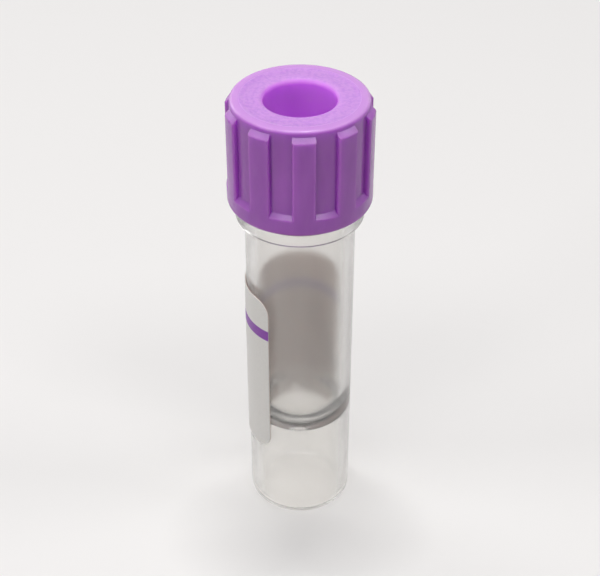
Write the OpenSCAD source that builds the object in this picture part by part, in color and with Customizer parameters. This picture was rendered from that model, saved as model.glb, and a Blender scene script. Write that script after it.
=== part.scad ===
// Small capped sample tube: a clear tube on a skirted foot, a push-on ribbed cap with a hollow plug,
// and a wrap-round label. Z runs up the tube's axis, and the origin is at the middle of the foot.

/* [Overall] */
// Height of the closed tube, foot to cap top
overall_h = 45; // [36:0.5:60]
// Outer diameter of the tube's wall
tube_d = 10; // [8:0.1:13]

/* [Tube] */
// Thickness of the tube's wall and of its raised bottom
tube_wall = 1; // [0.7:0.05:1.4]
// Depth of the bore, mouth to the lowest point of the raised bottom
bore_depth = 34; // [28:0.5:40]
// How far the collar stands out of the wall
collar_rim = 0.8; // [0.4:0.05:1.2]
// Height of the collar
collar_h = 1.6; // [1:0.1:3]
// Rounding of the collar's two edges
collar_edge_r = 0.3; // [0.1:0.05:0.45]
// Rounding of the mouth's and the foot's edges
lip_r = 0.2; // [0.1:0.05:0.3]
// Diameter of the mark that the mould's gate leaves under the raised bottom
gate_d = 1.2; // [0.8:0.1:2]
// Height of the gate mark
gate_h = 0.25; // [0.1:0.05:0.5]

/* [Cap] */
// Height of the cap
cap_h = 10; // [8:0.1:13]
// Thickness of the cap's top
cap_top_t = 1.3; // [1:0.1:2]
// Thickness of the cap's skirt between the ribs
skirt_wall = 0.85; // [0.6:0.05:1.2]
// Rounding of the cap's upper rim
rim_r = 0.3; // [0.1:0.05:0.45]
// Rounding of the cap's lower edge
hem_r = 0.35; // [0.1:0.05:0.4]
// Width of the lip round the cap's top, outside a shallow dish
dish_lip = 0.85; // [0.5:0.05:1.2]
// Width of the slope from the lip down into the dish
dish_slope = 0.5; // [0.2:0.05:0.8]
// Depth of the shallow dish in the cap's top
dish_depth = 0.08; // [0.04:0.01:0.2]

/* [Grip ribs] */
// Number of grip ribs round the cap
rib_count = 10; // [6:1:12]
// Width of a rib, in degrees round the cap
rib_angle = 18; // [12:0.5:22]
// How far the ribs stand out of the skirt
rib_h = 0.45; // [0.3:0.05:0.8]
// Drop from the cap's top to where the ribs' sloping upper ends start
rib_drop = 0.5; // [0.35:0.05:1]
// Rounding along a rib's two outer edges
rib_edge_r = 0.22; // [0.1:0.02:0.28]
// Height of the plain ring below the grooves' sloping lower ends
ring_h = 1.55; // [1:0.05:2.5]
// Rounding of the edges where the slopes at the ribs' and the grooves' ends meet other faces
slope_edge_r = 0.2; // [0.05:0.01:0.3]
// Turn of the first rib round the axis
rib_turn = 21.5; // [0:0.5:36]

/* [Plug] */
// Thickness of the hollow plug's wall
plug_wall = 0.8; // [0.5:0.05:1.1]
// Length of the plug below the cap's top wall
plug_len = 5.7; // [4:0.1:7]
// Thickness of the plug's floor
plug_floor = 1; // [0.6:0.1:1.6]
// Rounding of the plug's lower edge, which leads it into the bore
plug_lead_r = 0.5; // [0.2:0.05:0.7]
// Rounding of the recess's mouth
recess_edge_r = 0.45; // [0.1:0.05:0.6]

/* [Label] */
// Length of the label round the tube
label_w = 18.8; // [12:0.1:22]
// Height of the label
label_h = 18; // [14:0.1:22]
// Height of the label above the fill mark
label_head = 5.05; // [3:0.05:6]
// Thickness of the label
label_t = 0.12; // [0.06:0.01:0.2]
// Rounding of the label's corners
label_corner_r = 1.5; // [0.5:0.1:3]
// Direction that the middle of the label faces, from +X
label_turn = 129; // [0:0.5:360]
// Volume at the fill mark, in millilitres
fill_ml = 0.5; // [0.3:0.05:0.7]

/* [Clearances] */
// Radial clearance of the plug in the bore
plug_gap = 0.05; // [0.02:0.01:0.09]
// Radial clearance of the skirt round the tube's neck
neck_gap = 0.2; // [0.1:0.05:0.4]
// Gap between the cap's lower edge and the collar
collar_gap = 0.15; // [0.05:0.05:0.4]
// Thickness of the adhesive under the label
glue_t = 0.05; // [0.02:0.01:0.08]

/* [Hidden] */
$fn = 128;
// How far a cutting shape runs past the face that it cuts
over = 1;
// How far a round corner runs past the faces that it joins, so that it crosses them and doesn't just touch
corner_run = 0.01;
// Lean of the slopes at the ribs' and the grooves' ends, from upright
slope_angle = 45;
// What is trimmed off each end of the label's blank, in degrees round the tube
end_trim_angle = 2;

tube_r = tube_d / 2;
bore_r = tube_r - tube_wall;
tube_h = overall_h - cap_top_t;

// The raised bottom is a round cup: its inner and outer spheres share this centre.
cup_z = tube_h - bore_depth + bore_r;
// Level of the fill mark: the cup holds two thirds of a sphere's half, and the rest stands in the bore.
cup_ml = 2 / 3 * PI * pow(bore_r, 3) / 1000;
fill_z = cup_z + (fill_ml - cup_ml) * 1000 / (PI * pow(bore_r, 2));

core_r = tube_r + neck_gap + skirt_wall;
cap_r = core_r + rib_h;
cap_z = overall_h - cap_h;
rib_top_z = cap_h - rib_drop;
rib_shoulder_z = rib_top_z - rib_h / tan(slope_angle);
slope_top_z = ring_h + rib_h / tan(slope_angle);
slope_edge_drop = slope_edge_r * tan(slope_angle / 2);
groove_angle = 360 / rib_count - rib_angle;

plug_r = bore_r - plug_gap;
recess_r = plug_r - plug_wall;
plug_top_z = cap_h - cap_top_t;
plug_end_z = plug_top_z - plug_len;

collar_r = tube_r + collar_rim;
collar_top_z = cap_z - collar_gap;

label_r = tube_r + glue_t;
label_angle = label_w / label_r * 180 / PI;
label_z = fill_z + label_head - label_h;

// What a round edge takes off a corner, seen from the middle of the rounding: the corner's faces lie
// square across the directions turn and turn + spread
module corner_nip(r, turn, spread = 90) {
    reach = r + over;
    rotate(turn) difference() {
        polygon([[0, 0], [reach, 0], reach * [1, tan(spread / 2)], reach * [cos(spread), sin(spread)]]);
        circle(r);
    }
}

// A block of a section, from radius r0 to r1 and from height z0 to z1
module block(r0, r1, z0, z1) {
    translate([r0, z0]) square([r1 - r0, z1 - z0]);
}

module collar_section() {
    difference() {
        block(0, collar_r, collar_top_z - collar_h, collar_top_z);
        translate([collar_r - collar_edge_r, collar_top_z - collar_edge_r]) corner_nip(collar_edge_r, 0);
        translate([collar_r - collar_edge_r, collar_top_z - collar_h + collar_edge_r])
            corner_nip(collar_edge_r, -90);
    }
}

// The bore and its round end
module bore_section() {
    block(0, bore_r, cup_z, tube_h + over);
    translate([0, cup_z]) circle(bore_r);
}

// The hollow under the raised bottom, inside the skirted foot and round the gate mark
module foot_hollow_section() {
    difference() {
        block(0, bore_r, -over, cup_z);
        translate([0, cup_z]) circle(tube_r);
        block(0, gate_d / 2, cup_z - tube_r - gate_h, cup_z);
    }
}

module tube_section() {
    difference() {
        union() {
            block(0, tube_r, 0, tube_h);
            collar_section();
        }
        bore_section();
        foot_hollow_section();
        translate([tube_r - lip_r, tube_h - lip_r]) corner_nip(lip_r, 0);
        translate([bore_r + lip_r, tube_h - lip_r]) corner_nip(lip_r, 90);
        translate([tube_r - lip_r, lip_r]) corner_nip(lip_r, -90);
        translate([bore_r + lip_r, lip_r]) corner_nip(lip_r, 180);
    }
}

module tube() {
    color("whitesmoke", 0.5) rotate_extrude() tube_section();
}

// Half section of the cap before its grip grooves are cut, with the cap's lower edge at height 0
module cap_section() {
    dish_r = core_r - dish_lip;
    dish_z = cap_h - dish_depth;
    difference() {
        polygon([
            [0, plug_end_z],
            [plug_r, plug_end_z],
            [plug_r, 0],
            [cap_r, 0],
            [cap_r, rib_shoulder_z],
            [core_r, rib_top_z],
            [core_r, cap_h],
            [0, cap_h]
        ]);
        block(plug_r, core_r - skirt_wall, -over, plug_top_z);
        block(0, recess_r, plug_end_z + plug_floor, cap_h + over);
        polygon([
            [0, dish_z],
            [dish_r - dish_slope, dish_z],
            [dish_r, cap_h],
            [dish_r, cap_h + over],
            [0, cap_h + over]
        ]);
        translate([core_r - rim_r, cap_h - rim_r]) corner_nip(rim_r, 0);
        translate([cap_r - hem_r, hem_r]) corner_nip(hem_r, -90);
        translate([cap_r - slope_edge_r, rib_shoulder_z - slope_edge_drop])
            corner_nip(slope_edge_r, 0, slope_angle);
        translate([plug_r - plug_lead_r, plug_end_z + plug_lead_r]) corner_nip(plug_lead_r, -90);
        translate([recess_r + recess_edge_r, dish_z - recess_edge_r]) corner_nip(recess_edge_r, 90);
    }
}

// Half section of the ring of space that the grooves share, with a sloping lower end
module groove_section() {
    difference() {
        polygon([
            [core_r, slope_top_z],
            [cap_r + over, ring_h - over / tan(slope_angle)],
            [cap_r + over, rib_top_z],
            [core_r, rib_top_z]
        ]);
        translate([core_r + slope_edge_r, slope_top_z + slope_edge_drop])
            corner_nip(slope_edge_r, 180, slope_angle);
    }
    translate([cap_r - slope_edge_r, ring_h - slope_edge_drop]) corner_nip(slope_edge_r, 0, slope_angle);
}

// What a rib's round edge takes off it, beside a groove below the X axis whose flank lies along that axis
module rib_edge_nip() {
    centre_r = cap_r - rib_edge_r + corner_run;
    lean = asin((rib_edge_r - corner_run) / centre_r);
    centre = centre_r * [cos(lean), sin(lean)];
    difference() {
        polygon([
            centre,
            [centre[0], -rib_edge_r],
            [cap_r + over, -rib_edge_r],
            (cap_r + over) * [cos(lean), sin(lean)]
        ]);
        translate(centre) circle(rib_edge_r);
    }
}

// Plan of one groove: a wedge whose flanks flare where they meet the ribs' round edges
module groove_plan() {
    near = core_r / 2;
    far = 2 * cap_r;
    half = groove_angle / 2;
    corners = [[near, -half], [far, -half], [far, half], [near, half]];
    polygon([for (c = corners) c[0] * [cos(c[1]), sin(c[1])]]);
    rotate(half) rib_edge_nip();
    mirror([0, 1]) rotate(half) rib_edge_nip();
}

module grip_grooves() {
    intersection() {
        rotate_extrude() groove_section();
        linear_extrude(cap_h)
            for (i = [0 : rib_count - 1])
                rotate(rib_turn + (i + 0.5) * 360 / rib_count) groove_plan();
    }
}

module cap() {
    color("mediumorchid") translate([0, 0, cap_z]) difference() {
        rotate_extrude() cap_section();
        grip_grooves();
    }
}

// What is cut away past one end of the label: its plan from outside, with the corners' centres at x = 0
module label_end_plan() {
    centre_z = label_corner_r - corner_run;
    difference() {
        translate([0, -over]) square([label_corner_r + over, label_h + 2 * over]);
        for (z = [centre_z, label_h - centre_z]) translate([0, z]) circle(label_corner_r);
        translate([0, centre_z]) square([label_corner_r, label_h - 2 * centre_z]);
    }
}

// The same, cut straight through the label towards the axis; side is 1 or -1
module label_end_cut(side) {
    rotate(side * (label_angle / 2 - asin(label_corner_r / label_r))) translate([label_r / 2, 0, 0])
        rotate([90, 0, 90]) linear_extrude(label_r) scale([side, 1]) label_end_plan();
}

module label() {
    blank_angle = label_angle + 2 * end_trim_angle;
    color("gainsboro") translate([0, 0, label_z]) rotate(label_turn) difference() {
        rotate(-blank_angle / 2) rotate_extrude(angle = blank_angle)
            block(label_r, label_r + label_t, 0, label_h);
        for (side = [-1, 1]) label_end_cut(side);
    }
}

tube();
cap();
label();
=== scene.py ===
"""Looks of a capped blood collection tube of the micro size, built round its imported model.

The tube, the push-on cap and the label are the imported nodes, and are only given their finishes here.
The label's print is modelled here. What moulding leaves on the surfaces is in the finishes.
"""

import logging
import math
from dataclasses import dataclass
from enum import Enum
from typing import Any

import bpy
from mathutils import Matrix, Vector


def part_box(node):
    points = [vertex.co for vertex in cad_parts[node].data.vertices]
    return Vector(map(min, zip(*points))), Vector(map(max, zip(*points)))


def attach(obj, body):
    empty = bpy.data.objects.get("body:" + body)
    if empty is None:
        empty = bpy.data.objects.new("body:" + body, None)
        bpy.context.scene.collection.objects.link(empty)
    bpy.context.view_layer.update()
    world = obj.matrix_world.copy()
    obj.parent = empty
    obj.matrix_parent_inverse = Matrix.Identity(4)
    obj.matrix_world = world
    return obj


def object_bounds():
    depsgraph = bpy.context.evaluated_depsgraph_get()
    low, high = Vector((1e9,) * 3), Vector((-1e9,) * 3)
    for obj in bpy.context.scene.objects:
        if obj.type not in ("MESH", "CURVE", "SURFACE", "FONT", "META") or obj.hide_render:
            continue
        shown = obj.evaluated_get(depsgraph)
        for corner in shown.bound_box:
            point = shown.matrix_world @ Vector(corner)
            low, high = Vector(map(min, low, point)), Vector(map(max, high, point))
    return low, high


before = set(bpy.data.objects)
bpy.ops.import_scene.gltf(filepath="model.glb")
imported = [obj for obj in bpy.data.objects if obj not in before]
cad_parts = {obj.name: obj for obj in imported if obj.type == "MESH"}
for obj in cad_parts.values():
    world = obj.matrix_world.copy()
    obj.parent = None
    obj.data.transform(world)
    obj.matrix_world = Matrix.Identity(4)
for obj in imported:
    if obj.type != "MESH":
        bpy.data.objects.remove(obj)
cad_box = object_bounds()

MM = 0.001
log = logging.getLogger("blood_collection_tube")

Links = dict[str | int, Any]


# ---------------------------------------------------------------- helpers


class Slot(Enum):
    """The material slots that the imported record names."""

    TUBE = "tube_polypropylene"
    CAP = "cap_polyethylene"
    LABEL = "label_film"


def linear(hex_colour: str) -> tuple[float, float, float, float]:
    """Turn an sRGB hex colour into linear red, green, blue and alpha.

    Args:
        hex_colour: the colour, such as "#b36fcd".

    Returns:
        The four channels that a shader's colour socket takes.
    """
    channels = [int(hex_colour[i:i + 2], 16) / 255 for i in (1, 3, 5)]
    red, green, blue = [c / 12.92 if c <= 0.04045 else ((c + 0.055) / 1.055) ** 2.4 for c in channels]
    return red, green, blue, 1.0


def add_node(
        tree: bpy.types.NodeTree, kind: str, links: Links | None = None, **settings: Any) -> bpy.types.Node:
    """Add one node with its settings and what feeds it.

    Args:
        tree: the node tree that it goes in.
        kind: the node's type, such as "ShaderNodeMath".
        links: for each input, by name or number, a value or the output socket that feeds it.
        settings: the node's own properties.

    Returns:
        The new node.
    """
    node = tree.nodes.new(kind)
    for name, value in settings.items():
        setattr(node, name, value)
    for name, value in (links or {}).items():
        if isinstance(value, bpy.types.NodeSocket):
            tree.links.new(value, node.inputs[name])
        else:
            node.inputs[name].default_value = value
    return node


def deselect() -> None:
    """Leave edit mode and select nothing."""
    if bpy.context.object and bpy.context.object.mode != "OBJECT":
        bpy.ops.object.mode_set(mode="OBJECT")
    bpy.ops.object.select_all(action="DESELECT")


def name_new(name: str) -> bpy.types.Object:
    """Name the object that an operator has just added, and its mesh.

    Args:
        name: the piece's name.

    Returns:
        The object.
    """
    piece = bpy.context.object
    piece.name = piece.data.name = name
    return piece


# ---------------------------------------------------------------- finishes


@dataclass(frozen=True)
class Finish:
    """A finish that all the surfaces of one material share.

    Attributes:
        name: what the real material is and how its surface was made.
        colour: its colour, as sRGB hex.
        roughness: how rough its surface is, from 0 to 1.
        ior: its index of refraction.
    """

    name: str
    colour: str
    roughness: float
    ior: float

    def start(self) -> tuple[bpy.types.Material, bpy.types.NodeTree, bpy.types.Node]:
        """Make the material and its shader, with the values that are the same all over.

        Returns:
            The material, its node tree and its Principled shader.
        """
        material = bpy.data.materials.new(self.name)
        material.use_nodes = True
        tree = material.node_tree
        shader = tree.nodes["Principled BSDF"]
        shader.inputs["Base Color"].default_value = linear(self.colour)
        shader.inputs["Roughness"].default_value = self.roughness
        shader.inputs["IOR"].default_value = self.ior
        return material, tree, shader

    def make(self) -> bpy.types.Material:
        """Make the finished material."""
        return self.start()[0]


@dataclass(frozen=True)
class ClearPolypropylene(Finish):
    """Natural polypropylene from a polished mould: clear, with the slight milk of a crystalline plastic.

    Attributes:
        clearness: the share of light that passes, and doesn't scatter in the wall.
        shade: the share of a lamp's light that each surface lets through to what it would shade.
        flow_width: width of the flow lines round the tube, in metres.
        flow_length: their length up the tube, in metres.
        flow_depth: how deep the flow lines are, in metres.
    """

    name: str = "clear_moulded_polypropylene"
    colour: str = "#fbfaf8"
    roughness: float = 0.18
    ior: float = 1.49
    clearness: float = 0.94
    shade: float = 0.6
    flow_width: float = 1.1 * MM
    flow_length: float = 9 * MM
    flow_depth: float = 0.004 * MM

    def make(self) -> bpy.types.Material:
        """Make the material: long soft flow lines bend what is seen through the wall."""
        material, tree, shader = self.start()
        shader.inputs["Transmission Weight"].default_value = self.clearness
        place = add_node(tree, "ShaderNodeTexCoord").outputs["Object"]
        stretched = add_node(tree, "ShaderNodeMapping", {
            "Vector": place, "Scale": (1 / self.flow_width, 1 / self.flow_width, 1 / self.flow_length)})
        flow = add_node(tree, "ShaderNodeTexNoise", {
            "Vector": stretched.outputs[0], "Scale": 1.0, "Detail": 2.0})
        bump = add_node(tree, "ShaderNodeBump", {"Height": flow.outputs[0], "Distance": self.flow_depth})
        tree.links.new(bump.outputs[0], shader.inputs["Normal"])
        let_through = add_node(tree, "ShaderNodeBsdfTransparent", {
            "Color": (self.shade, self.shade, self.shade, 1.0)})
        path = add_node(tree, "ShaderNodeLightPath")
        mix = add_node(tree, "ShaderNodeMixShader", {
            0: path.outputs["Is Shadow Ray"], 1: shader.outputs[0], 2: let_through.outputs[0]})
        tree.links.new(mix.outputs[0], tree.nodes["Material Output"].inputs["Surface"])
        return material


@dataclass(frozen=True)
class LavenderPolyethylene(Finish):
    """Lavender low-density polyethylene, moulded: glossy flanks, a semi-matt top painted paler as painted
    sheen, a soft glow where light soaks in through thin walls, and a painted glow in the recess.

    Attributes:
        shade: the colour where the pigment is densest.
        satin: the top's colour, painted paler than the flanks: painted sheen for the light that falls on it
            from above.
        pit_painted_sheen: its look in the pits that spark erosion left, painted paler like the rest of the
            top: painted sheen.
        glow: a paler colour painted in the recess: a painted glow, standing in for light let in through its
            thin wall from both sides.
        top_z: height of the cap's top, in metres.
        top_radius: radius of its semi-matt part, inside the polished rim.
        rim_radius: radius of the rim, which is painted in the top's pale colour as a painted highlight.
        recess_radius: radius of the recess in it.
        top_start: how far below the top its look starts to show, in metres.
        top_full: how far below the top it shows fully, in metres.
        satin_edge: width of the semi-matt part's soft edge, in metres.
        rim_edge: width of the soft edge of the rim's painted highlight, in metres.
        recess_start: how far outside the recess its painted glow starts to show, in metres.
        recess_full: how far outside the recess the painted glow shows fully, in metres.
        top_roughness: how rough the top is.
        streak: width of the pigment's streaks, in metres.
        streak_stretch: the streaks' width as a share of their length up the cap.
        ring_pitch: spacing of the turning rings in the top, in metres. Real ones are usually finer than
            0.1 mm and wouldn't show, so these are drawn coarser.
        ring_depth: their depth, in metres.
        grain: size of the flanks' fine orange peel, in metres.
        grain_depth: its depth, in metres.
        pitting: size of the pits in the top, in metres. Real ones are usually finer than 0.05 mm and
            wouldn't show, so these are drawn coarser.
        pit_low: noise level where pits start.
        pit_high: noise level where they are at their deepest.
        pit_depth: their depth, in metres.
        soak: how far light soaks in, in metres.
        soak_tint: share of that depth that red, green and blue light reach.
    """

    name: str = "lavender_moulded_polyethylene"
    colour: str = "#be68d4"
    roughness: float = 0.24
    ior: float = 1.51
    shade: str = "#a452bc"
    satin: str = "#cc92de"
    pit_painted_sheen: str = "#be84d8"
    glow: str = "#dc88f2"
    top_z: float = 45 * MM
    top_radius: float = 5.15 * MM
    rim_radius: float = 5.9 * MM
    recess_radius: float = 3.15 * MM
    top_start: float = 0.35 * MM
    top_full: float = 0.1 * MM
    satin_edge: float = 0.1 * MM
    rim_edge: float = 0.15 * MM
    recess_start: float = 0.3 * MM
    recess_full: float = 0.05 * MM
    top_roughness: float = 0.5
    streak: float = 1.6 * MM
    streak_stretch: float = 0.3
    ring_pitch: float = 0.45 * MM
    ring_depth: float = 0.006 * MM
    grain: float = 0.35 * MM
    grain_depth: float = 0.005 * MM
    pitting: float = 0.3 * MM
    pit_low: float = 0.4
    pit_high: float = 0.68
    pit_depth: float = 0.006 * MM
    soak: float = 1.6 * MM
    soak_tint: tuple[float, float, float] = (1.0, 0.8, 1.0)

    def make(self) -> bpy.types.Material:
        """Make the material: pigment streaks, painted sheen on the top and rim, a painted glow in the recess,
        turning rings in the top, orange peel on the flanks.
        """
        material, tree, shader = self.start()
        shader.inputs["Subsurface Weight"].default_value = 1.0
        shader.inputs["Subsurface Radius"].default_value = self.soak_tint
        shader.inputs["Subsurface Scale"].default_value = self.soak
        place = add_node(tree, "ShaderNodeTexCoord").outputs["Object"]

        axes = add_node(tree, "ShaderNodeSeparateXYZ", {0: place})
        flat = add_node(tree, "ShaderNodeCombineXYZ", {"X": axes.outputs["X"], "Y": axes.outputs["Y"]})
        radius = add_node(tree, "ShaderNodeVectorMath", {0: flat.outputs[0]}, operation="LENGTH")
        high = add_node(tree, "ShaderNodeMapRange", {
            "Value": axes.outputs["Z"],
            "From Min": self.top_z - self.top_start, "From Max": self.top_z - self.top_full})
        inside = add_node(tree, "ShaderNodeMapRange", {
            "Value": radius.outputs["Value"],
            "From Min": self.top_radius + self.satin_edge, "From Max": self.top_radius})
        # Painted sheen: the rim mask here and the pale mask below paint the top and the rim paler than the
        # flanks, for the light from above; on the rim it is a painted highlight.
        rim = add_node(tree, "ShaderNodeMapRange", {
            "Value": radius.outputs["Value"],
            "From Min": self.rim_radius + self.rim_edge, "From Max": self.rim_radius})
        on_top = add_node(tree, "ShaderNodeMath", {
            0: high.outputs[0], 1: inside.outputs[0]}, operation="MULTIPLY")
        pale = add_node(tree, "ShaderNodeMath", {0: high.outputs[0], 1: rim.outputs[0]}, operation="MULTIPLY")
        # Painted glow: this mask paints the recess in a paler colour, for light let in through its thin wall.
        recess = add_node(tree, "ShaderNodeMapRange", {
            "Value": radius.outputs["Value"],
            "From Min": self.recess_radius + self.recess_start,
            "From Max": self.recess_radius + self.recess_full})
        rough = add_node(tree, "ShaderNodeMapRange", {
            "Value": on_top.outputs[0], "To Min": self.roughness, "To Max": self.top_roughness})
        tree.links.new(rough.outputs[0], shader.inputs["Roughness"])

        streaks = add_node(tree, "ShaderNodeMapping", {
            "Vector": place, "Scale": (1 / self.streak, 1 / self.streak, self.streak_stretch / self.streak)})
        pigment = add_node(tree, "ShaderNodeTexNoise", {
            "Vector": streaks.outputs[0], "Scale": 1.0, "Detail": 4.0})
        body = add_node(tree, "ShaderNodeMix", {
            "Factor": pigment.outputs[0], "A": linear(self.colour), "B": linear(self.shade)},
            data_type="RGBA")
        pits = add_node(tree, "ShaderNodeTexNoise", {
            "Vector": place, "Scale": 1 / self.pitting, "Detail": 2.0})
        pitted = add_node(tree, "ShaderNodeMapRange", {
            "Value": pits.outputs[0], "From Min": self.pit_low, "From Max": self.pit_high})
        eroded = add_node(tree, "ShaderNodeMath", {
            0: pitted.outputs[0], 1: on_top.outputs[0]}, operation="MULTIPLY")
        # Painted sheen: the top's paler colour, mottled by the pits, is laid over the flanks' colour where
        # the pale mask is.
        satin = add_node(tree, "ShaderNodeMix", {
            "Factor": eroded.outputs[0], "A": linear(self.satin), "B": linear(self.pit_painted_sheen)}, data_type="RGBA")
        topped = add_node(tree, "ShaderNodeMix", {
            "Factor": pale.outputs[0], "A": body.outputs["Result"], "B": satin.outputs["Result"]},
            data_type="RGBA")
        # Painted glow: the recess's paler colour is laid over the rest.
        colour = add_node(tree, "ShaderNodeMix", {
            "Factor": recess.outputs[0], "A": topped.outputs["Result"], "B": linear(self.glow)},
            data_type="RGBA")
        tree.links.new(colour.outputs["Result"], shader.inputs["Base Color"])

        turns = add_node(tree, "ShaderNodeMath", {
            0: radius.outputs["Value"], 1: math.tau / self.ring_pitch}, operation="MULTIPLY")
        rings = add_node(tree, "ShaderNodeMath", {0: turns.outputs[0]}, operation="SINE")
        ring_bump = add_node(tree, "ShaderNodeMath", {
            0: rings.outputs[0], 1: on_top.outputs[0]}, operation="MULTIPLY")
        peel = add_node(tree, "ShaderNodeTexNoise", {"Vector": place, "Scale": 1 / self.grain, "Detail": 3.0})
        first = add_node(tree, "ShaderNodeBump", {"Height": peel.outputs[0], "Distance": self.grain_depth})
        second = add_node(tree, "ShaderNodeBump", {
            "Height": ring_bump.outputs[0], "Distance": self.ring_depth, "Normal": first.outputs[0]})
        third = add_node(tree, "ShaderNodeBump", {
            "Height": eroded.outputs[0], "Distance": self.pit_depth, "Normal": second.outputs[0]},
            invert=True)
        tree.links.new(third.outputs[0], shader.inputs["Normal"])
        return material


@dataclass(frozen=True)
class LabelFilm(Finish):
    """White coated label stock: an even semi-gloss face, and a back painted greyer and pinker for painted
    shade and painted purple light from the cap, with painted light tinted by the band's ink.

    Attributes:
        back: colour of the back, as seen through the tube, painted greyer and pinker than the face: painted
            shade and painted purple light from the cap.
        painted_ink_light: colour painted on the back at the band's height: painted light tinted by the band's
            ink as it passes through the label.
        face_radius: radius past which a point is on the face, in metres.
        band_low: lower edge of the printed band, in metres up the tube.
        band_high: its upper edge.
        painted_ink_light_blur: half the width of the soft edges of the painted ink light, in metres.
        soak: how far light soaks in, in metres.
        fibre: size of the stock's fibres, in metres. Real ones are usually finer than 0.05 mm and
            wouldn't show, so these are drawn coarser.
        fibre_depth: how far they stand out, in metres.
        fibre_low: noise level where the stock is darkest.
        fibre_high: noise level where it is palest.
        mottle_dark: its brightness where it is darkest.
        mottle_pale: its brightness where it is palest.
    """

    name: str = "coated_label_stock"
    colour: str = "#f6f3ee"
    roughness: float = 0.42
    ior: float = 1.46
    back: str = "#ead8d2"
    painted_ink_light: str = "#c8b2ce"
    face_radius: float = 5.1 * MM
    band_low: float = 0.0
    band_high: float = 0.0
    painted_ink_light_blur: float = 0.18 * MM
    soak: float = 0.06 * MM
    fibre: float = 0.16 * MM
    fibre_depth: float = 0.0015 * MM
    fibre_low: float = 0.3
    fibre_high: float = 0.7
    mottle_dark: float = 0.96
    mottle_pale: float = 1.02

    def make(self) -> bpy.types.Material:
        """Make the material: the face and the back, with its painted shade, by radius; the painted ink light
        by height; fibres all over.
        """
        material, tree, shader = self.start()
        shader.inputs["Subsurface Weight"].default_value = 1.0
        shader.inputs["Subsurface Radius"].default_value = (1.0, 1.0, 1.0)
        shader.inputs["Subsurface Scale"].default_value = self.soak
        place = add_node(tree, "ShaderNodeTexCoord").outputs["Object"]
        axes = add_node(tree, "ShaderNodeSeparateXYZ", {0: place})
        flat = add_node(tree, "ShaderNodeCombineXYZ", {"X": axes.outputs["X"], "Y": axes.outputs["Y"]})
        radius = add_node(tree, "ShaderNodeVectorMath", {0: flat.outputs[0]}, operation="LENGTH")
        face = add_node(tree, "ShaderNodeMath", {
            0: radius.outputs["Value"], 1: self.face_radius}, operation="GREATER_THAN")
        # Painted light tinted by the band's ink: the band mask below, by height, on the back.
        blur = self.painted_ink_light_blur
        above = add_node(tree, "ShaderNodeMapRange", {
            "Value": axes.outputs["Z"], "From Min": self.band_low - blur, "From Max": self.band_low + blur})
        below = add_node(tree, "ShaderNodeMapRange", {
            "Value": axes.outputs["Z"], "From Min": self.band_high + blur, "From Max": self.band_high - blur})
        band = add_node(tree, "ShaderNodeMath", {
            0: above.outputs[0], 1: below.outputs[0]}, operation="MULTIPLY")
        fibres = add_node(tree, "ShaderNodeTexNoise", {
            "Vector": place, "Scale": 1 / self.fibre, "Detail": 5.0})
        # Painted shade and painted purple light: the back's colour, with painted light tinted by the band's
        # ink where the band mask is.
        back = add_node(tree, "ShaderNodeMix", {
            "Factor": band.outputs[0], "A": linear(self.back), "B": linear(self.painted_ink_light)}, data_type="RGBA")
        colour = add_node(tree, "ShaderNodeMix", {
            "Factor": face.outputs[0], "A": back.outputs["Result"], "B": linear(self.colour)},
            data_type="RGBA")
        mottled = add_node(tree, "ShaderNodeMapRange", {
            "Value": fibres.outputs[0], "From Min": self.fibre_low, "From Max": self.fibre_high,
            "To Min": self.mottle_dark, "To Max": self.mottle_pale})
        stock = add_node(tree, "ShaderNodeMix", {
            "Factor": 1.0, "A": colour.outputs["Result"], "B": mottled.outputs[0]},
            data_type="RGBA", blend_type="MULTIPLY")
        tree.links.new(stock.outputs["Result"], shader.inputs["Base Color"])
        bump = add_node(tree, "ShaderNodeBump", {"Height": fibres.outputs[0], "Distance": self.fibre_depth})
        tree.links.new(bump.outputs[0], shader.inputs["Normal"])
        return material


@dataclass(frozen=True)
class PrintingInk(Finish):
    """Flexographic ink, rolled on: flat colour with the faint pinholes that a roller leaves.

    Attributes:
        thin: the colour where the ink is thin.
        pinhole: size of the pinholes, in metres. Real ones are usually finer than 0.05 mm and wouldn't
            show, so these are drawn coarser.
        pinhole_low: noise level where the ink starts to thin.
        pinhole_high: noise level where it is thinnest.
    """

    name: str = "flexographic_ink"
    colour: str = "#8f3db2"
    roughness: float = 0.38
    ior: float = 1.5
    thin: str = "#a45cc2"
    pinhole: float = 0.12 * MM
    pinhole_low: float = 0.52
    pinhole_high: float = 0.74

    def make(self) -> bpy.types.Material:
        """Make the material: noise lets the thin colour through in small spots."""
        material, tree, shader = self.start()
        place = add_node(tree, "ShaderNodeTexCoord").outputs["Object"]
        spots = add_node(tree, "ShaderNodeTexNoise", {
            "Vector": place, "Scale": 1 / self.pinhole, "Detail": 3.0})
        where = add_node(tree, "ShaderNodeMapRange", {
            "Value": spots.outputs[0], "From Min": self.pinhole_low, "From Max": self.pinhole_high})
        colour = add_node(tree, "ShaderNodeMix", {
            "Factor": where.outputs[0], "A": linear(self.colour), "B": linear(self.thin)}, data_type="RGBA")
        tree.links.new(colour.outputs["Result"], shader.inputs["Base Color"])
        return material


# ---------------------------------------------------------------- sub-assemblies


@dataclass
class MouldedTube:
    """The clear tube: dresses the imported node.

    Attributes:
        node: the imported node's name.
        finish: the tube's finish.
    """

    node: str = "tube"
    finish: Finish = ClearPolypropylene()

    def build(self) -> None:
        """Give the tube its finish."""
        dress_node(self.node, self.finish.make(), Slot.TUBE)


@dataclass
class PushCap:
    """The push-on cap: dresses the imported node.

    Attributes:
        node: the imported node's name.
    """

    node: str = "cap"

    def build(self) -> None:
        """Give the cap its finish."""
        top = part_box(self.node)[1].z
        dress_node(self.node, LavenderPolyethylene(top_z=top).make(), Slot.CAP)


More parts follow.
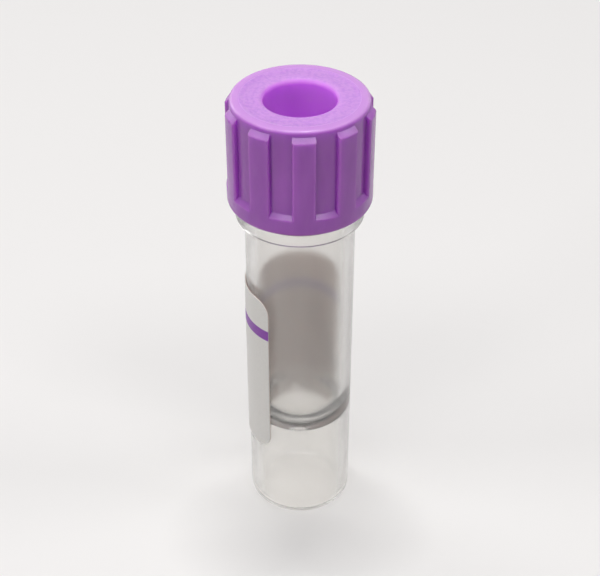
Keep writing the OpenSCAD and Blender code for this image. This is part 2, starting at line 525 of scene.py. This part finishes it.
def dress_node(node: str, material: bpy.types.Material, slot_name: Slot) -> None:
    """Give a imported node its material, in every slot that it has.

    Args:
        node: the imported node's name.
        material: its finish.
        slot_name: the record's slot that the finish stands for.
    """
    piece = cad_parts[node]
    for slot in piece.material_slots:
        slot.material = material
    log.info("dressed %s, slot %s, in %s", node, slot_name.value, material.name)


@dataclass
class WrapLabel:
    """The label that wraps over half the tube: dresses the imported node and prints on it.

    Attributes:
        node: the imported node's name.
        head: height of the label above the fill mark, in metres.
        band_height: height of the printed band, which stands on the fill mark.
        ink: thickness that the print is drawn at.
        sunk: how far the print's underside lies in the label, so that no gap shows.
        step: greatest length of a straight edge where print bends round the tube.
        wedge_start: from the label's left end to the fill wedge's point.
        wedge_length: the fill wedge's length.
        wedge_height: its height at its blunt end.
        wedge_drop: from the fill mark down to the wedge's level top edge.
        volume: what the figures say.
        figure_height: height of the volume's figures.
        figure_share: a figure's height as a share of the type's size.
        figure_steps: how many straight edges each curve of the type is drawn with.
        smooth_below: the angle, in degrees, below which print's faces look like one smooth surface.
        figure_start: from the label's left end to the figures' middle.
        figure_drop: from the fill mark down to the figures' top.
        rule_count: how many write-in rules there are.
        rule_start: from the label's left end to where the rules start.
        rule_length: length of a rule.
        rule_height: thickness of a rule's line.
        rule_pitch: spacing of the rules.
        rule_drop: from the fill mark down to the first rule.
    """

    node: str = "label"
    head: float = 4.3 * MM
    band_height: float = 1.1 * MM
    ink: float = 0.012 * MM
    sunk: float = 0.005 * MM
    step: float = 0.25 * MM
    wedge_start: float = 0.45 * MM
    wedge_length: float = 2.2 * MM
    wedge_height: float = 0.7 * MM
    wedge_drop: float = 0.25 * MM
    volume: str = "0.5\nml"
    figure_height: float = 1.1 * MM
    figure_share: float = 0.73
    figure_steps: int = 4
    smooth_below: float = 30
    figure_start: float = 1.95 * MM
    figure_drop: float = 1.3 * MM
    rule_count: int = 3
    rule_start: float = 4.9 * MM
    rule_length: float = 8.8 * MM
    rule_height: float = 0.12 * MM
    rule_pitch: float = 2.6 * MM
    rule_drop: float = 2.7 * MM

    def __post_init__(self) -> None:
        """Read the label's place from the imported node, whose ends face each other over the widest gap."""
        points = [v.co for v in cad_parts[self.node].data.vertices]
        self.radius = max(math.hypot(p.x, p.y) for p in points)
        angles = sorted(math.atan2(p.y, p.x) % math.tau for p in points)
        gaps = [(angles[(i + 1) % len(angles)] - angle) % math.tau for i, angle in enumerate(angles)]
        bare = max(range(len(gaps)), key=gaps.__getitem__)
        self.left_angle = angles[(bare + 1) % len(angles)]
        self.length = (math.tau - gaps[bare]) * self.radius
        self.fill_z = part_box(self.node)[1].z - self.head

    def build(self) -> None:
        """Dress the label and print on it."""
        film = LabelFilm(band_low=self.fill_z, band_high=self.fill_z + self.band_height)
        dress_node(self.node, film.make(), Slot.LABEL)
        lavender = PrintingInk().make()
        grey = PrintingInk(name="grey_flexographic_ink", colour="#4a4746", thin="#6a6664").make()
        self.print_piece(self.band(), lavender)
        self.print_piece(self.wedge(), grey)
        self.print_piece(self.figures(), grey)
        for number in range(self.rule_count):
            self.print_piece(self.rule(number), grey)

    def strip(self, name: str, start: float, length: float, low: float, height: float) -> bpy.types.Object:
        """Model one straight strip of print, flat: its place round the tube is along X, its height along Y.

        Args:
            name: the piece's name.
            start: from the label's left end to the strip's left end.
            length: the strip's length.
            low: height of its lower edge.
            height: its height.

        Returns:
            The flat strip, with its ink's thickness along Z.
        """
        deselect()
        bpy.ops.mesh.primitive_plane_add(size=1, location=(start + length / 2, low + height / 2, 0))
        strip = name_new(name)
        strip.scale = (length, height, 1)
        bpy.ops.object.transform_apply(location=True, scale=True)
        self.thicken(strip)
        return strip

    def thicken(self, piece: bpy.types.Object) -> None:
        """Raise a flat piece to the ink's thickness.

        Args:
            piece: a flat piece that faces +Z.
        """
        bpy.ops.object.mode_set(mode="EDIT")
        bpy.ops.mesh.select_all(action="SELECT")
        bpy.ops.mesh.extrude_region_move(TRANSFORM_OT_translate={"value": (0, 0, self.ink)})
        bpy.ops.mesh.select_all(action="SELECT")
        bpy.ops.mesh.normals_make_consistent(inside=False)
        bpy.ops.object.mode_set(mode="OBJECT")

    def band(self) -> bpy.types.Object:
        """Model the band that runs the label's whole length and stands on the fill mark."""
        return self.strip("print_band", 0, self.length, self.fill_z, self.band_height)

    def rule(self, number: int) -> bpy.types.Object:
        """Model one of the write-in rules.

        Args:
            number: which rule, from the top.

        Returns:
            The flat rule.
        """
        low = self.fill_z - self.rule_drop - number * self.rule_pitch
        name = f"print_rule_{number + 1}"
        return self.strip(name, self.rule_start, self.rule_length, low, self.rule_height)

    def wedge(self) -> bpy.types.Object:
        """Model the wedge under the fill mark: a point at its left end, blunt at its right.

        Returns:
            The flat wedge.
        """
        top = self.fill_z - self.wedge_drop
        low = top - self.wedge_height
        wedge = self.strip("print_fill_wedge", self.wedge_start, self.wedge_length, low, self.wedge_height)
        middle_x = self.wedge_start + self.wedge_length / 2
        middle_y = top - self.wedge_height / 2
        for vertex in wedge.data.vertices:
            if vertex.co.x < middle_x and vertex.co.y < middle_y:
                vertex.co.y = top - self.rule_height / 2
        return wedge

    def figures(self) -> bpy.types.Object:
        """Model the volume under the wedge, in figures.

        Returns:
            The flat figures.
        """
        deselect()
        bpy.ops.object.text_add()
        text = bpy.context.object.data
        text.body = self.volume
        text.size = self.figure_height / self.figure_share
        text.align_x = "CENTER"
        text.resolution_u = self.figure_steps
        bpy.ops.object.convert(target="MESH")
        figures = name_new("print_volume")
        high = max(v.co.y for v in figures.data.vertices)
        figures.location = (self.figure_start, self.fill_z - self.figure_drop - high, 0)
        bpy.ops.object.transform_apply(location=True)
        self.thicken(figures)
        return figures

    def print_piece(self, piece: bpy.types.Object, material: bpy.types.Material) -> None:
        """Cut a flat piece of print into short lengths, bend it round the label, and finish it.

        Args:
            piece: the flat piece, with its place round the tube along X and its height along Y.
            material: its ink.
        """
        xs = [v.co.x for v in piece.data.vertices]
        cuts = int((max(xs) - min(xs)) / self.step)
        bpy.ops.object.mode_set(mode="EDIT")
        for i in range(cuts):
            bpy.ops.mesh.select_all(action="SELECT")
            place = min(xs) + (i + 0.5) * (max(xs) - min(xs)) / cuts
            bpy.ops.mesh.bisect(plane_co=(place, 0, 0), plane_no=(1, 0, 0))
        bpy.ops.object.mode_set(mode="OBJECT")
        for vertex in piece.data.vertices:
            angle = self.left_angle + vertex.co.x / self.radius
            radius = self.radius - self.sunk + vertex.co.z
            vertex.co = Vector((radius * math.cos(angle), radius * math.sin(angle), vertex.co.y))
        bpy.ops.object.mode_set(mode="EDIT")
        bpy.ops.mesh.select_all(action="SELECT")
        bpy.ops.mesh.remove_doubles(threshold=1e-7)
        bpy.ops.mesh.normals_make_consistent(inside=False)
        bpy.ops.object.mode_set(mode="OBJECT")
        bpy.ops.object.shade_smooth_by_angle(angle=math.radians(self.smooth_below))
        finish_piece(piece, material, "tube")


def finish_piece(piece: bpy.types.Object, material: bpy.types.Material, body: str) -> None:
    """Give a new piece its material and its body.

    Args:
        piece: the finished mesh.
        material: its finish.
        body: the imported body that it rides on.
    """
    piece.data.materials.clear()
    piece.data.materials.append(material)
    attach(piece, body)
    log.info("built %s: %d faces, in %s", piece.name, len(piece.data.polygons), material.name)


# ---------------------------------------------------------------- studio


@dataclass(frozen=True)
class Softbox:
    """One soft lamp.

    Attributes:
        name: the lamp's name.
        place: where it stands, in metres.
        width: its width, in metres.
        height: its height, in metres.
        power: its power, in watts.
    """

    name: str
    place: tuple[float, float, float]
    width: float
    height: float
    power: float


@dataclass
class Studio:
    """The plain room: a pale floor, soft light, and the camera.

    Attributes:
        before: how far the camera stands in front of the tube's axis.
        above: how far it stands above the cap's top.
        aside: how far it stands to the right of the tube's axis.
        aim: the height that it looks at, as a share of the tube's height.
        lens: its focal length in millimetres, on a 36 mm sensor.
        floor: the floor's colour.
        bounce: the floor's colour for the light that it throws back.
        room: the colour of the room beyond it.
        fade_start: how far from the tube the floor starts to fade into the room.
        fade_end: how far from the tube it ends.
        floor_size: length of the floor's sides, in metres.
        floor_roughness: how rough the floor is.
        floor_gloss: the floor's specular level.
        fill: the light that the room throws, in linear red, green, blue and alpha.
        lamp_aim: the height that the lamps face.
        lamps: a thin strip overhead, a wide one in front, one on each side, one low and one behind.
    """

    before: float = 97.5 * MM
    above: float = 53 * MM
    aside: float = 0.7 * MM
    aim: float = 0.55
    lens: float = 78.0
    floor: str = "#eceae8"
    bounce: str = "#a8a5a3"
    room: str = "#eae9e8"
    fade_start: float = 80 * MM
    fade_end: float = 350 * MM
    floor_size: float = 6.0
    floor_roughness: float = 0.9
    floor_gloss: float = 0.1
    fill: tuple[float, float, float, float] = (0.13, 0.13, 0.14, 1.0)
    lamp_aim: float = 25 * MM
    lamps: tuple[Softbox, ...] = (
        Softbox("overhead_strip", (0.0, 0.14, 0.84), 0.26, 0.03, 2.6),
        Softbox("front_softbox", (0.05, -0.36, 0.72), 0.85, 0.22, 2.5),
        Softbox("left_softbox", (-0.59, -0.13, 0.71), 0.26, 0.26, 0.9),
        Softbox("right_softbox", (0.66, -0.01, 0.655), 0.26, 0.26, 0.9),
        Softbox("low_softbox", (-0.55, -0.45, 0.35), 0.3, 0.3, 0.9),
        Softbox("rear_softbox", (-0.5, 0.5, 0.35), 0.3, 0.3, 0.9))

    def build(self) -> None:
        """Make the floor, the world, the lamps and the camera."""
        self.build_floor()
        self.build_world()
        for lamp in self.lamps:
            self.build_lamp(lamp)
        self.build_camera()

    def build_floor(self) -> None:
        """Make the pale floor, which throws back less light than it seems to and fades into the room."""
        deselect()
        bpy.ops.mesh.primitive_plane_add(size=self.floor_size)
        floor = name_new("floor")
        material = bpy.data.materials.new("matt_floor")
        material.use_nodes = True
        tree = material.node_tree
        shader = tree.nodes["Principled BSDF"]
        shader.inputs["Roughness"].default_value = self.floor_roughness
        shader.inputs["Specular IOR Level"].default_value = self.floor_gloss
        seen = self.seen_rays(tree)
        colour = add_node(tree, "ShaderNodeMix", {
            "Factor": seen, "A": linear(self.bounce), "B": linear(self.floor)}, data_type="RGBA")
        tree.links.new(colour.outputs["Result"], shader.inputs["Base Color"])
        place = add_node(tree, "ShaderNodeTexCoord").outputs["Object"]
        away = add_node(tree, "ShaderNodeVectorMath", {0: place}, operation="LENGTH")
        far = add_node(tree, "ShaderNodeMapRange", {
            "Value": away.outputs["Value"], "From Min": self.fade_start, "From Max": self.fade_end},
            interpolation_type="SMOOTHSTEP")
        glow = add_node(tree, "ShaderNodeEmission", {"Color": linear(self.room), "Strength": seen})
        mix = add_node(tree, "ShaderNodeMixShader", {
            0: far.outputs[0], 1: shader.outputs[0], 2: glow.outputs[0]})
        tree.links.new(mix.outputs[0], tree.nodes["Material Output"].inputs["Surface"])
        floor.data.materials.append(material)

    @staticmethod
    def seen_rays(tree: bpy.types.NodeTree) -> bpy.types.NodeSocket:
        """Tell the rays that show something, in sight, in gloss or through glass, from those that light it.

        Args:
            tree: the node tree that asks.

        Returns:
            A socket that is 1 for the rays that show.
        """
        path = add_node(tree, "ShaderNodeLightPath")
        either = add_node(tree, "ShaderNodeMath", {
            0: path.outputs["Is Camera Ray"], 1: path.outputs["Is Glossy Ray"]}, operation="MAXIMUM")
        any_of = add_node(tree, "ShaderNodeMath", {
            0: either.outputs[0], 1: path.outputs["Is Transmission Ray"]}, operation="MAXIMUM")
        return any_of.outputs[0]

    def build_world(self) -> None:
        """Make the world: pale where it shows, and a soft grey light elsewhere."""
        world = bpy.data.worlds.new("pale_room")
        bpy.context.scene.world = world
        world.use_nodes = True
        tree = world.node_tree
        background = tree.nodes["Background"]
        seen = self.seen_rays(tree)
        colour = add_node(tree, "ShaderNodeMix", {
            "Factor": seen, "A": self.fill, "B": linear(self.room)}, data_type="RGBA")
        tree.links.new(colour.outputs["Result"], background.inputs["Color"])

    def build_lamp(self, softbox: Softbox) -> None:
        """Make one soft lamp that faces the tube.

        Args:
            softbox: its name, place, size and power.
        """
        lamp = bpy.data.lights.new(softbox.name, "AREA")
        lamp.shape = "RECTANGLE"
        lamp.size, lamp.size_y, lamp.energy = softbox.width, softbox.height, softbox.power
        holder = bpy.data.objects.new(softbox.name, lamp)
        holder.location = softbox.place
        target = Vector((0, 0, self.lamp_aim))
        holder.rotation_euler = (target - holder.location).to_track_quat("-Z", "Y").to_euler()
        bpy.context.scene.collection.objects.link(holder)

    def build_camera(self) -> None:
        """Stand the camera where it sees the tube from above, and aim it at the tube's middle."""
        height = cad_box[1].z
        data = bpy.data.cameras.new("camera")
        data.lens = self.lens
        camera = bpy.data.objects.new("camera", data)
        camera.location = (self.aside, -self.before, height + self.above)
        target = Vector((0, 0, height * self.aim))
        camera.rotation_euler = (target - camera.location).to_track_quat("-Z", "Y").to_euler()
        data.clip_start = 0.001
        bpy.context.scene.collection.objects.link(camera)
        bpy.context.scene.camera = camera


def main() -> None:
    """Build the studio and each sub-assembly in turn."""
    logging.basicConfig(level=logging.INFO, format="%(message)s")
    bpy.context.scene.view_settings.view_transform = "Standard"
    for part in (Studio(), MouldedTube(), PushCap(), WrapLabel()):
        log.info("building %s", type(part).__name__)
        part.build()


if __name__ == "__main__":
    main()
